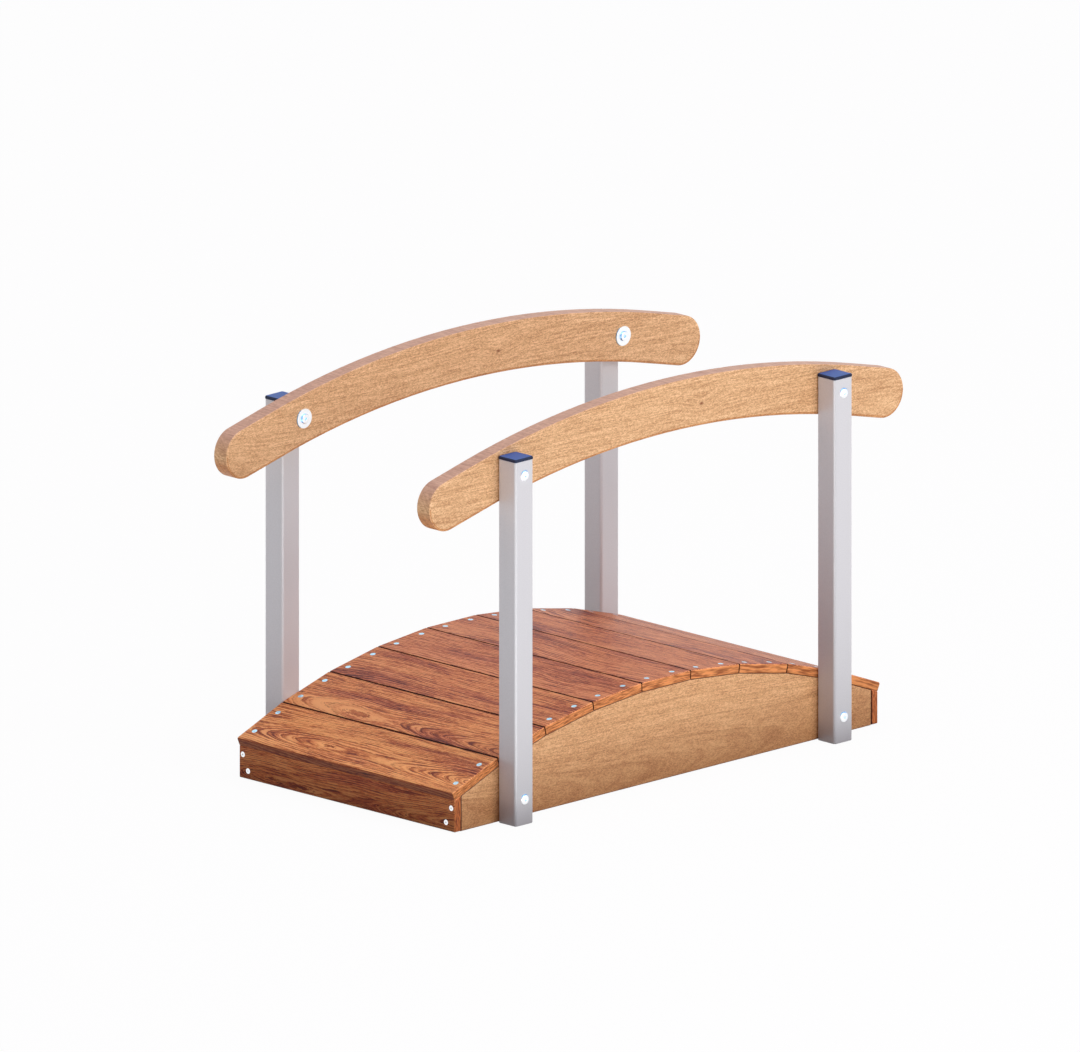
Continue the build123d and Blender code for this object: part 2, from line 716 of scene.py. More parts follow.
    def paint_light_and_shade(self, graph: Graph, place: Socket, colour: Socket) -> Socket:
        """Paints a sheen on what faces the sky, a highlight on the upper edges, and shade on the underside,
        the lower edges and the foot.

        Args:
            graph: the finish's graph.
            place: the place in the log.
            colour: the timber's own colour.

        Returns:
            The colour with its painted light and shade.
        """
        geometry = graph.add("ShaderNodeNewGeometry").outputs
        normal = graph.parts(geometry["Normal"])
        lean = graph.maths("ABSOLUTE", normal["Y"])
        top = graph.maths(
            "MULTIPLY", graph.span(lean, self.top_lies), graph.span(normal["Z"], self.top_rises)
        )
        # Painted sheen on the tops, with streaks in it
        streaks = graph.noise(place, self.streaks)
        streaks = graph.ramp(streaks, self.top_sheen_streak_stops, (self.top_sheen, self.top_sheen_streak))
        colour = graph.blend("MIX", graph.maths("MULTIPLY", top, self.top_sheen_share), colour, streaks)
        # Painted shade on the undersides
        colour = graph.tint(colour, graph.span(normal["Z"], self.underside_falls), self.underside_shade)
        # Painted shade along the lower edges
        strip = graph.mark(Mark.EDGE)
        colour = graph.tint(colour, graph.span(strip, self.lower_strip), self.lower_edge_shade)
        # Painted highlight along the upper edges
        edge = graph.maths("MULTIPLY", graph.span(lean, self.edge_starts), graph.span(lean, self.edge_ends))
        edge = graph.maths("MULTIPLY", edge, graph.span(normal["Z"], self.edge_rises))
        colour = graph.tint(colour, graph.maths("MAXIMUM", edge, graph.span(strip, UNIT)), self.edge_highlight)
        # Painted shade towards the foot
        height = graph.parts(geometry["Position"])["Z"]
        return graph.tint(colour, graph.span(height, self.damp_rise), self.damp)


@dataclass(frozen=True)
class PostPaint:
    """Satin silver-grey coat on steel tube, with a faint orange peel and painted shade towards the foot."""

    light: Colour = srgb(216, 215, 219)
    shade: Colour = srgb(211, 210, 214)
    stops: Stops = (0.35, 0.65)
    peel: Waves = Waves((500.0, 500.0, 500.0))
    # Painted shade towards the foot, and the height where it fades out
    base_shade: Colour = (0.76, 0.74, 0.75)
    base_shade_rise: Span = Span(0.05, 0.0)
    metal_share: float = 0.1
    roughness: float = 0.34
    peel_roughness: float = 0.08
    relief: Relief = Relief(depth=0.1 * MM, strength=0.03)

    def material(self) -> bpy.types.Material:
        """Builds the finish.

        Returns:
            The material.
        """
        graph = Graph("post_steel")
        place = graph.add("ShaderNodeTexCoord").outputs["Object"]
        peel = graph.noise(place, self.peel)
        colour = graph.ramp(peel, self.stops, (self.shade, self.light))
        # The base colour is darkened near the ground as painted shade
        return graph.principled(
            Base_Color=graph.tint(colour, graph.span(graph.parts(place)["Z"], self.base_shade_rise), self.base_shade),
            Metallic=self.metal_share,
            Roughness=graph.maths("MULTIPLY_ADD", peel, self.peel_roughness, self.roughness),
            Normal=graph.bump(peel, self.relief),
        )


@dataclass(frozen=True)
class CapPlastic:
    """Dark blue moulded plastic with a fine spark-eroded texture and painted shade on its sides."""

    light: Colour = srgb(46, 98, 176)
    shade: Colour = srgb(38, 84, 158)
    stops: Stops = (0.35, 0.65)
    grain: Waves = Waves((1500.0, 1500.0, 1500.0), detail=2.0)
    # Painted shade on the sides
    side_shade: Colour = (0.13, 0.11, 0.13)
    roughness: float = 0.4
    grain_roughness: float = 0.12
    gloss: float = 0.3
    relief: Relief = Relief(depth=0.12 * MM, strength=0.25)

    def material(self) -> bpy.types.Material:
        """Builds the finish.

        Returns:
            The material, which reads the marked sides of each cap.
        """
        graph = Graph("cap_plastic")
        grain = graph.noise(graph.add("ShaderNodeTexCoord").outputs["Object"], self.grain)
        colour = graph.ramp(grain, self.stops, (self.shade, self.light))
        # The marked sides take the painted shade
        return graph.principled(
            Base_Color=graph.tint(colour, graph.mark(Mark.JOINT), self.side_shade),
            Roughness=graph.maths("MULTIPLY_ADD", grain, self.grain_roughness, self.roughness),
            Specular_IOR_Level=self.gloss,
            Normal=graph.bump(grain, self.relief),
        )


@dataclass(frozen=True)
class BrightZinc:
    """Blue-white zinc plate on steel fasteners, with painted shade on their rims."""

    name: str = "zinc_hardware"
    light: Colour = srgb(255, 255, 255)
    shade: Colour = srgb(244, 249, 254)
    stops: Stops = (0.35, 0.6)
    spangle: Waves = Waves((420.0, 420.0, 420.0), detail=2.0)
    # Painted shade on the marked rims
    rim: Colour = srgb(140, 190, 246)
    roughness: float = 0.26
    spangle_roughness: float = 0.12
    relief: Relief = Relief(depth=0.05 * MM, strength=0.15)

    def material(self) -> bpy.types.Material:
        """Builds the finish.

        Returns:
            The material, which reads the marked rims of each fastener.
        """
        graph = Graph(self.name)
        spangle = graph.noise(graph.add("ShaderNodeTexCoord").outputs["Object"], self.spangle)
        colour = graph.ramp(spangle, self.stops, (self.shade, self.light))
        # The marked rims take the painted shade colour
        return graph.principled(
            Base_Color=graph.blend("MIX", graph.mark(Mark.JOINT), colour, self.rim),
            Metallic=1.0,
            Roughness=graph.maths("MULTIPLY_ADD", spangle, self.spangle_roughness, self.roughness),
            Normal=graph.bump(spangle, self.relief),
        )


def link(name: str, data: bpy.types.ID) -> bpy.types.Object:
    """Puts a mesh, lamp or camera in the scene.

    Args:
        name: the object's name.
        data: what it shows.

    Returns:
        The new object.
    """
    thing = bpy.data.objects.new(name, data)
    bpy.context.scene.collection.objects.link(thing)
    return thing


def seat(piece: bpy.types.Object, slot: Slot, material: bpy.types.Material, *nodes: str) -> None:
    """Gives a piece its finish and fixes it to the bridge.

    Args:
        piece: the piece, already in place.
        slot: the slot that its finish belongs to; not used.
        material: its finish.
        nodes: the CAD nodes that it stands for.
    """
    piece.data.materials.clear()
    piece.data.materials.append(material)
    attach(piece, BODY)
    if nodes:
        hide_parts(*nodes)
    LOG.info("%s: %d faces", piece.name, len(piece.data.polygons))


def shade_by_angle(piece: bpy.types.Object, degrees: float = SMOOTH_TURN) -> None:
    """Smooths a mesh except across its sharp edges.

    Args:
        piece: the piece.
        degrees: edges that turn by more than this stay sharp.
    """
    piece.data.shade_smooth()
    piece.data.set_sharp_from_angle(angle=math.radians(degrees))
    weighted = piece.modifiers.new("even_normals", "WEIGHTED_NORMAL")
    weighted.keep_sharp = True


def welded(node: str, flat_turn: float = FLAT_TURN) -> bmesh.types.BMesh:
    """Copy of a CAD solid's mesh with its points joined and its flat faces merged.

    Args:
        node: the CAD node.
        flat_turn: faces that turn by less than this are merged, in degrees.

    Returns:
        The copy, as an open bmesh.
    """
    solid = bmesh.new()
    solid.from_mesh(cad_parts[node].data)
    bmesh.ops.remove_doubles(solid, verts=solid.verts, dist=WELD)
    limit = math.radians(flat_turn)
    bmesh.ops.dissolve_limit(solid, angle_limit=limit, verts=solid.verts, edges=solid.edges)
    return solid


def closed(solid: bmesh.types.BMesh, name: str) -> bpy.types.Object:
    """Turns a bmesh into a piece.

    Args:
        solid: the bmesh, which is freed.
        name: the piece's name.

    Returns:
        The piece.
    """
    mesh = bpy.data.meshes.new(name)
    solid.to_mesh(mesh)
    solid.free()
    return link(name, mesh)


def eased_copy(node: str, ease: float, name: str) -> bpy.types.Object:
    """Copy of a CAD solid with all its hard edges eased.

    Args:
        node: the CAD node.
        ease: width of the rounding along each edge.
        name: the copy's name.

    Returns:
        The copy.
    """
    solid = welded(node)
    hard = [edge for edge in solid.edges if edge.calc_face_angle(0.0) > math.radians(HARD_TURN)]
    bmesh.ops.bevel(
        solid,
        geom=hard,
        offset=ease,
        segments=EASE_STEPS,
        profile=ROUND_PROFILE,
        affect="EDGES",
        clamp_overlap=True,
    )
    return closed(solid, name)


def write_faces(piece: bpy.types.Object, mark: Mark, values: Sequence[float]) -> None:
    """Writes a number on each face of a piece."""
    piece.data.attributes.new(mark.value, "FLOAT", "FACE").data.foreach_set("value", values)


def write_points(piece: bpy.types.Object, mark: Mark, values: Sequence[float]) -> None:
    """Writes three numbers on each point of a piece."""
    piece.data.attributes.new(mark.value, "FLOAT_VECTOR", "POINT").data.foreach_set("vector", values)


def mark_tone(board: bpy.types.Object, tone: float, edge: Vector) -> None:
    """Writes how far a board is painted in shade among its neighbours, and which of its edges get a painted
    highlight.

    Args:
        board: the board, with its final mesh.
        tone: how far its faces are painted in shade, from 0 to 1.
        edge: direction of an edge that has soaked up more oil.
    """
    normals = [face.normal for face in board.data.polygons]
    tones = [SOAKED if normal.dot(edge) > SOAKED_TURN else tone for normal in normals]
    write_faces(board, Mark.BOARD_TONE, tones)
    edge_highlight = [EDGE_TURN < abs(normal.y) < FACE_TURN and normal.z > EDGE_TURN for normal in normals]
    write_faces(board, Mark.EDGE, [float(is_highlit) for is_highlit in edge_highlight])


def mark_painted_shade(piece: bpy.types.Object, sides: Sequence[Vector], turn: float = JOINT_TURN) -> None:
    """Marks the faces that get painted shade, where they turn towards joints, sides or rims.

    Args:
        piece: the piece, with its final mesh.
        sides: directions towards what it meets there.
        turn: how much a face has to point that way, from 0 to 1.
    """
    normals = [face.normal for face in piece.data.polygons]
    shaded_faces = [any(normal.dot(side) > turn for side in sides) for normal in normals]
    write_faces(piece, Mark.JOINT, [float(is_shaded) for is_shaded in shaded_faces])


@dataclass(frozen=True)
class Grain:
    """The axes of the log that a timber was sawn from.

    Args:
        along: direction of the fibres.
        across: direction across the timber's wide face.
        offset: where the timber lies in its log, along, across and out from the pith.
        slope: how fast the fibres lean away from the pith.
        fineness: how much closer than usual its growth rings lie.
    """

    along: Vector
    across: Vector
    offset: Vector
    slope: float = 0.0
    fineness: float = 1.0

    def mark(self, piece: bpy.types.Object) -> None:
        """Writes each point's place in the log, and which faces are sawn across the fibres.

        Args:
            piece: the timber, with its final mesh.
        """
        points = [vertex.co for vertex in piece.data.vertices]
        outward = self.along.cross(self.across)
        centre = sum(points, Vector()) / len(points)
        places: list[float] = []
        for point in points:
            arm = point - centre
            places += [
                arm.dot(self.along) + self.offset.x,
                self.fineness * arm.dot(self.across) + self.offset.y,
                self.fineness * arm.dot(outward) + self.offset.z + self.slope * arm.dot(self.along),
            ]
        write_points(piece, Mark.TIMBER, places)
        ends = [float(abs(face.normal.dot(self.along)) > END_TURN) for face in piece.data.polygons]
        write_faces(piece, Mark.END_GRAIN, ends)


@dataclass(frozen=True)
class Ring:
    """One ring of a turned head.

    Args:
        radius: its radius, or half its width across flats, in metres.
        height: its height above the seat, in metres.
        outline: its shape.
    """

    radius: float
    height: float
    outline: Outline = Outline.ROUND

    def reach(self, angle: float) -> float:
        """Distance from the axis to the outline.

        Args:
            angle: the direction from the axis.

        Returns:
            The distance in metres.
        """
        half_side = math.pi / RECESS_CORNERS
        if self.outline is Outline.HEXAGON:
            return self.radius / math.cos((angle + half_side) % (2 * half_side) - half_side)
        if self.outline is Outline.STAR:
            return self.radius * (1.0 + STAR_SHARE * math.cos(RECESS_CORNERS * angle))
        return self.radius


def round_rings(shares: Shares, radius: float, height: float) -> list[Ring]:
    """Round rings of a profile.

    Args:
        shares: each ring's shares of the radius and of the height.
        radius: the profile's radius.
        height: the profile's height.

    Returns:
        The rings.
    """
    return [Ring(radius * wide, height * high) for wide, high in shares]


@dataclass(frozen=True)
class TurnedHead:
    """A head that is lofted through rings, from its seat to the floor of its recess.

    Args:
        rings: the rings, from the seat on.
        sides: points on each ring.
    """

    rings: Sequence[Ring]
    sides: int = 48

    def stamp(self, solid: bmesh.types.BMesh, place: Matrix) -> None:
        """Adds one head to a mesh.

        Args:
            solid: the mesh.
            place: where the head's seat is, with Z out of the surface.
        """
        loops: list[list[bmesh.types.BMVert]] = []
        for ring in self.rings:
            loop = []
            for step in range(self.sides):
                angle = 2 * math.pi * step / self.sides
                reach = ring.reach(angle)
                point = Vector((reach * math.cos(angle), reach * math.sin(angle), ring.height))
                loop.append(solid.verts.new(place @ point))
            loops.append(loop)
        for low, high in zip(loops, loops[1:]):
            for step in range(self.sides):
                after = (step + 1) % self.sides
                solid.faces.new((low[step], low[after], high[after], high[step]))
        solid.faces.new(loops[-1])
        solid.faces.new(loops[0][::-1])

    def piece(self, name: str, places: Iterable[Matrix]) -> bpy.types.Object:
        """Makes one piece of many like heads.

        Args:
            name: the piece's name.
            places: where each head's seat is.

        Returns:
            The piece.
        """
        solid = bmesh.new()
        for place in places:
            self.stamp(solid, place)
        made = closed(solid, name)
        shade_by_angle(made)
        return made


def standing(point: Vector, outward: Vector) -> Matrix:
    """Frame of a head that stands on a surface.

    Args:
        point: a point of the surface.
        outward: the surface's normal.

    Returns:
        A matrix whose Z axis is the normal.
    """
    return Matrix.Translation(point) @ outward.to_track_quat("Z", "Y").to_matrix().to_4x4()


@dataclass
class WoodScrews:
    """Countersunk wood screws with a star recess, set a little below the boards."""

    head_radius: float = 5.6 * MM
    pocket_radius: float = 5.85 * MM
    pocket_depth: float = 0.4 * MM
    recess_radius: float = 1.3 * MM
    recess_depth: float = 1.4 * MM
    sides: int = 36
    crown_shares: Shares = ((0.9, 0.0), (0.96, 0.5), (1.0, 0.8), (0.97, 1.05), (0.75, 1.3))
    lip_shares: Shares = ((1.35, 1.4),)
    brim_height_share: float = 1.35
    floor_radius_share: float = 0.85

    def head(self) -> TurnedHead:
        """The screw's head, from the bottom of its pocket.

        Returns:
            The head.
        """
        top = self.pocket_depth
        rings = round_rings(self.crown_shares, self.head_radius, top)
        rings += round_rings(self.lip_shares, self.recess_radius, top)
        rings += [
            Ring(self.recess_radius, top * self.brim_height_share, Outline.STAR),
            Ring(self.recess_radius * self.floor_radius_share, top - self.recess_depth, Outline.STAR),
        ]
        return TurnedHead(rings, self.sides)

    def sink(self, board: bpy.types.Object, places: Sequence[Matrix]) -> None:
        """Cuts the screws' pockets into a board.

        Args:
            board: the board.
            places: where each screw stands on the board's face.
        """
        ends = (-self.pocket_depth, self.pocket_depth)
        drill = TurnedHead([Ring(self.pocket_radius, height) for height in ends], self.sides)
        cutter = drill.piece("pocket_cutter", places)
        cut = board.modifiers.new("pockets", "BOOLEAN")
        cut.operation = "DIFFERENCE"
        cut.solver = "EXACT"
        cut.object = cutter
        whole = board.evaluated_get(bpy.context.evaluated_depsgraph_get())
        board.data = bpy.data.meshes.new_from_object(whole)
        board.modifiers.remove(cut)
        bpy.data.objects.remove(cutter)

    def drive(self, name: str, places: Iterable[Matrix], zinc: bpy.types.Material) -> None:
        """Sets the screws in their pockets.

        Args:
            name: the piece's name.
            places: where each screw stands on its board's face.
            zinc: the screws' finish.
        """
        floors = [place @ Matrix.Translation((0.0, 0.0, -self.pocket_depth)) for place in places]
        seat(self.head().piece(name, floors), Slot.ZINC, zinc)


@dataclass
class Deck:
    """The planks across the walk and the boards that close its ends."""

    plank_count: int = 9
    ease: float = 0.7 * MM

    # Screws: inset from a plank's ends and spread along the walk, or inset and height on an end board
    screw_inset: float = 20.0 * MM
    screw_spread: float = 35.0 * MM
    upper_screw: tuple[float, float] = (10.0 * MM, 50.0 * MM)
    lower_screw: tuple[float, float] = (24.5 * MM, 18.6 * MM)

    # Figure: from the front on the planks grow coarser, and darker up to a full tone of painted shade
    tone_step: float = 0.35
    plank_fineness: float = 1.35
    coarser_step: float = 0.25
    plank_slope: float = 0.05
    end_board_fineness: float = 1.5
    end_board_slope: float = 0.06
    end_board_log: Triple = (20.0, 0.03, 0.05)

    # Logs: a plank's place along its log, aside of the pith and out from it, with turns in radians
    log_step: float = 1.7
    heart_aside: float = 0.01
    side_aside: float = 0.07
    aside_swing: float = 0.02
    aside_turn: float = 2.3
    log_depth: float = 0.04
    depth_swing: float = 0.01
    depth_turn: float = 1.7

    def plank_axes(self, number: int) -> tuple[Vector, Vector, Vector]:
        """Axes of a plank, read from its largest upper face.

        Args:
            number: the plank's number from the front.

        Returns:
            The middle of its top, its direction along the walk and its normal.
        """
        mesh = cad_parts[f"deck_plank_{number}"].data
        upper = max(mesh.polygons, key=lambda face: face.area * face.normal.z)
        normal = upper.normal.normalized()
        along_walk = Vector((normal.z, 0.0, -normal.x))
        spans = [vertex.co.dot(along_walk) for vertex in mesh.vertices]
        middle = along_walk * (min(spans) + max(spans)) / 2 + normal * upper.center.dot(normal)
        return middle, along_walk, normal

    def log_place(self, number: int) -> Vector:
        """Where a plank lies in its log: the first shows the heart, the others lie to one side.

        Args:
            number: the plank's number from the front.

        Returns:
            Its place along, across and out from the pith.
        """
        aside = self.side_aside + self.aside_swing * math.sin(self.aside_turn * number)
        depth = self.log_depth + self.depth_swing * math.cos(self.depth_turn * number)
        return Vector((self.log_step * number, self.heart_aside if number == 1 else aside, depth))

    def build_planks(self, wood: bpy.types.Material, zinc: bpy.types.Material) -> None:
        """Builds the planks and their screws.

        Args:
            wood: the planks' finish.
            zinc: their screws' finish.
        """
        screws = WoodScrews()
        all_places: list[Matrix] = []
        for number in range(1, self.plank_count + 1):
            node = f"deck_plank_{number}"
            low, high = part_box(node)
            middle, along_walk, normal = self.plank_axes(number)
            places = [
                standing(middle + along_walk * step * self.screw_spread + LEFTWARDS * y, normal)
                for step in (-1, 1)
                for y in (low.y + self.screw_inset, high.y - self.screw_inset)
            ]
            plank = eased_copy(node, self.ease, f"dressed_plank_{number}")
            screws.sink(plank, places)
            shade_by_angle(plank)
            steps = number - 1
            fineness = self.plank_fineness / (1.0 + self.coarser_step * steps)
            Grain(LEFTWARDS, along_walk, self.log_place(number), self.plank_slope, fineness).mark(plank)
            # Faces towards a neighbouring plank get painted shade, and planks further back a stronger tone
            # of painted shade
            mark_painted_shade(plank, [-along_walk] * (number > 1) + [along_walk] * (number < self.plank_count))
            mark_tone(plank, min(1.0, self.tone_step * steps), -along_walk)
            seat(plank, Slot.DECK, wood, node)
            all_places += places
        screws.drive("deck_screws", all_places, zinc)

    def build_end_boards(self, wood: bpy.types.Material, zinc: bpy.types.Material) -> None:
        """Builds the end boards and their screws.

        Args:
            wood: the end boards' finish.
            zinc: their screws' finish.
        """
        screws = WoodScrews()
        all_places: list[Matrix] = []
        for end in End:
            node = f"{end.word}_end_board"
            low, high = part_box(node)
            face = low.x if end is End.FRONT else high.x
            outward = BACKWARDS * end.value
            places = [
                standing(Vector((face, side.value * (high.y - inset), height)), outward)
                for side in Side
                for inset, height in (self.upper_screw, self.lower_screw)
            ]
            board = eased_copy(node, self.ease, f"dressed_{node}")
            screws.sink(board, places)
            shade_by_angle(board)
            offset = Vector(self.end_board_log) + BACKWARDS * end.value
            Grain(LEFTWARDS, UPWARDS, offset, self.end_board_slope, self.end_board_fineness).mark(board)
            # The inner face gets painted shade, and the back board a full tone of painted shade
            mark_painted_shade(board, [-outward])
            mark_tone(board, float(end is End.BACK), -outward)
            seat(board, Slot.DECK, wood, node)
            all_places += places
        screws.drive("end_board_screws", all_places, zinc)


@dataclass
class SideTimbers:
    """The stringers under the deck and the handrails above it."""

    stringer_ease: float = 0.8 * MM
    stringer_log: Triple = (3.0, 0.05, 0.06)
    stringer_slope: float = 0.06
    rail_flat_turn: float = 0.5
    rail_crease: float = 60.0
    rail_log: Triple = (7.0, 0.07, 0.06)
    rail_log_step: float = 2.0
    rail_slope: float = 0.04
    edge_strip: float = 2.4 * MM
    knot_x: float = 98.0 * MM
    knot_height: float = 747.0 * MM
    knot_length_share: float = 0.6

    def edged_rail(self, node: str) -> bpy.types.Object:
        """Copy of a handrail with a narrow strip marked along the edges of its sides, for a painted
        highlight and painted shade.

        Args:
            node: the CAD node.

        Returns:
            The copy, whose strips read 1 along the upper edge for the painted highlight and -1 along the
            lower edge for the painted shade.
        """
        solid = welded(node, self.rail_flat_turn)
        strip = solid.faces.layers.float.new(Mark.EDGE.value)
        broad = sorted(solid.faces, key=lambda face: face.calc_area())[-2:]
        inset = bmesh.ops.inset_region(solid, faces=broad, thickness=self.edge_strip, use_even_offset=True)
        sides = {*broad, *inset["faces"]}
        for rim in inset["faces"]:
            outer = [
                edge
                for edge in rim.edges
                if all(face is rim or face not in sides for face in edge.link_faces)
            ]
            points = [vertex.co for edge in outer for vertex in edge.verts]
            middle = sum(points, Vector()) / len(points)
            rim[strip] = math.copysign(1.0, middle.z - rim.calc_center_median().z)
        return closed(solid, f"dressed_{node}")

    def mark_knot(self, rail: bpy.types.Object) -> None:
        """Writes each point's way from the knot, which runs through the rail's thickness.

        Args:
            rail: the handrail, with its final mesh.
        """
        ways: list[float] = []
        for vertex in rail.data.vertices:
            along = self.knot_length_share * (vertex.co.x - self.knot_x)
            ways += [along, 0.0, vertex.co.z - self.knot_height]
        write_points(rail, Mark.KNOT, ways)

    def build_stringer(self, side: Side, timber: bpy.types.Material) -> None:
        """Builds one stringer.

        Args:
            side: the side that it is on.
            timber: its finish.
        """
        node = f"{side.word}_{Member.STRINGER.word}"
        stringer = eased_copy(node, self.stringer_ease, f"dressed_{node}")
        shade_by_angle(stringer)
        along, across, depth = self.stringer_log
        offset = Vector((along * side.value, across, depth))
        Grain(BACKWARDS, UPWARDS, offset, self.stringer_slope).mark(stringer)
        # Its top and ends, under the planks and against the end boards, get painted shade
        mark_painted_shade(stringer, [UPWARDS, BACKWARDS, -BACKWARDS])
        seat(stringer, Slot.TIMBER, timber, node)

    def build_rail(self, side: Side, timber: bpy.types.Material) -> None:
        """Builds one handrail.

        Args:
            side: the side that it is on.
            timber: its finish.
        """
        node = f"{side.word}_{Member.HANDRAIL.word}"
        rail = self.edged_rail(node)
        shade_by_angle(rail, self.rail_crease)
        offset = Vector(self.rail_log) + BACKWARDS * self.rail_log_step * side.value
        Grain(BACKWARDS, UPWARDS, offset, self.rail_slope).mark(rail)
        mark_painted_shade(rail, [])
        self.mark_knot(rail)
        seat(rail, Slot.TIMBER, timber, node)

    def build(self, stringer_timber: bpy.types.Material, rail_timber: bpy.types.Material) -> None:
        """Builds both stringers and both handrails.

        Args:
            stringer_timber: the stringers' finish.
            rail_timber: the handrails' finish.
        """
        for side in Side:
            self.build_stringer(side, stringer_timber)
            self.build_rail(side, rail_timber)


@dataclass
class Posts:
    """The steel tubes and their plastic caps."""

    tube_ease: float = 1.6 * MM
    cap_ease: float = 0.9 * MM

    def build(self, paint: bpy.types.Material, plastic: bpy.types.Material) -> None:
        """Builds the tubes and the caps.

        Args:
            paint: the tubes' finish.
            plastic: the caps' finish.
        """
        for end in End:
            for side in Side:
                node = f"{end.word}_{side.word}_post"
                tube = eased_copy(node, self.tube_ease, f"dressed_{node}")
                shade_by_angle(tube)
                seat(tube, Slot.STEEL, paint, node)
                cap = eased_copy(f"{node}_cap", self.cap_ease, f"dressed_{node}_cap")
                shade_by_angle(cap)
                # The caps' sides get painted shade
                mark_painted_shade(cap, [BACKWARDS, -BACKWARDS, LEFTWARDS, -LEFTWARDS])
                seat(cap, Slot.PLASTIC, plastic, f"{node}_cap")


@dataclass
class ThroughBolts:
    """Button-headed bolts through posts and timbers, on large washers inside."""

    rail_height: float = 712.0 * MM
    stringer_height: float = 52.0 * MM

    # Domed heads: straight foot, then an arc of so many degrees that leaves a flat in the middle
    head_radius: float = 10.5 * MM
    head_height: float = 3.6 * MM
    foot_shares: Shares = ((0.985, 0.0), (1.0, 0.04), (1.0, 0.16))
    dome_turn: float = 62.0
    dome_steps: int = 6
    dome_flat_share: float = 0.28
    dome_foot_share: float = 0.16
    crown_share: float = 0.99

    # Hexagon sockets in heads and nuts
    socket_half_width: float = 2.6 * MM
    socket_depth: float = 2.6 * MM
    lip_share: float = 1.2
    brim_share: float = 0.92

    # Nuts and washers
    nut_radius: float = 10.0 * MM
    nut_height: float = 3.2 * MM
    nut_shares: Shares = ((1.0, 0.0), (1.0, 0.45), (0.97, 0.75), (0.90, 0.95), (0.82, 1.0))
    washer_radius: float = 20.0 * MM
    washer_thickness: float = 2.6 * MM
    washer_shares: Shares = ((0.985, 0.0), (1.0, 0.15), (1.0, 0.7), (0.985, 0.93), (0.955, 1.0))
    bore_share: float = 0.9
    rim_turn: float = 0.42

    def socket(self, height: float, lip_height: float) -> list[Ring]:
        """Rings of a hexagon socket.

        Args:
            height: height of the head that it is in.
            lip_height: height of the round lip about it.

        Returns:
            The rings, from the lip to the floor.
        """
        return [
            Ring(self.socket_half_width * self.lip_share, lip_height),
            Ring(self.socket_half_width, height * self.brim_share, Outline.HEXAGON),
            Ring(self.socket_half_width, height - self.socket_depth, Outline.HEXAGON),
        ]

    def button(self) -> TurnedHead:
        """Domed head with a hexagon socket.

        Returns:
            The head.
        """
        full_turn = math.radians(self.dome_turn)
        dome: list[tuple[float, float]] = []
        for step in range(1, self.dome_steps + 1):
            turn = full_turn * step / self.dome_steps
            wide = self.dome_flat_share + (1.0 - self.dome_flat_share) * math.cos(turn)
            rise = math.sin(turn) / math.sin(full_turn)
            dome.append((wide, self.dome_foot_share + (1.0 - self.dome_foot_share) * rise))
        rings = round_rings((*self.foot_shares, *dome), self.head_radius, self.head_height)
        return TurnedHead(rings + self.socket(self.head_height, self.head_height * self.crown_share))

    def sleeve_nut(self) -> TurnedHead:
        """Flat-faced nut with a rounded rim and a small socket."""
        rings = round_rings(self.nut_shares, self.nut_radius, self.nut_height)
        return TurnedHead(rings + self.socket(self.nut_height, self.nut_height))

    def washer(self) -> TurnedHead:
        """Round washer with eased rims."""
        rings = round_rings(self.washer_shares, self.washer_radius, self.washer_thickness)
        return TurnedHead(rings + [Ring(self.head_radius * self.bore_share, self.washer_thickness)])

    def build_row(self, member: Member, height: float, zinc: bpy.types.Material) -> None:
        """Builds the heads, washers and nuts of one row of bolts.

        Args:
            member: the timbers that the row holds.
            height: the row's height above the ground.
            zinc: their finish.
        """
        heads: list[Matrix] = []
        washers: list[Matrix] = []
        nuts: list[Matrix] = []
        for side in Side:
            timber_low, timber_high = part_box(f"{side.word}_{member.word}")
            inner = timber_low.y if side is Side.LEFT else timber_high.y
            lifted = inner - side.value * self.washer_thickness
            outward = LEFTWARDS * side.value
            for end in End:
                low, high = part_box(f"{end.word}_{side.word}_post")
                x = (low.x + high.x) / 2
                outer = high.y if side is Side.LEFT else low.y
                heads.append(standing(Vector((x, outer, height)), outward))
                washers.append(standing(Vector((x, inner, height)), -outward))
                nuts.append(standing(Vector((x, lifted, height)), -outward))
        for part, head, places, rims in (
            ("bolt_heads", self.button(), heads, [UPWARDS, BACKWARDS]),
            ("washers", self.washer(), washers, [-BACKWARDS]),
            ("sleeve_nuts", self.sleeve_nut(), nuts, [UPWARDS, -BACKWARDS]),
        ):
            made = head.piece(f"{member.word}_{part}", places)
            # Their rims get painted shade
            mark_painted_shade(made, rims, self.rim_turn)
            seat(made, Slot.ZINC, zinc)

    def build(self, zinc: bpy.types.Material) -> None:
        """Builds both rows of bolts."""
        self.build_row(Member.HANDRAIL, self.rail_height, zinc)
        self.build_row(Member.STRINGER, self.stringer_height, zinc)


@dataclass(frozen=True)
class SoftBox:
    """One square soft lamp.

    Args:
        name: its name.
        place: where its middle is.
        aim: the point that it faces.
        size: its side in metres.
        power: its power in watts.
        colour: its colour.
        only_gleams: whether it shows in reflections alone.
    """

    name: str
    place: Triple
    aim: Triple
    size: float
    power: float
    colour: Colour = WHITE
    only_gleams: bool = False

    def hang(self) -> None:
        """Puts the lamp in the scene."""
        lamp = bpy.data.lights.new(self.name, "AREA")
        lamp.size = self.size
        lamp.energy = self.power
        lamp.color = self.colour
        light = link(self.name, lamp)
        light.location = self.place
        way = Vector(self.aim) - Vector(self.place)
        light.rotation_euler = way.to_track_quat("-Z", "Y").to_euler()
        light.visible_camera = False
        light.visible_diffuse = not self.only_gleams


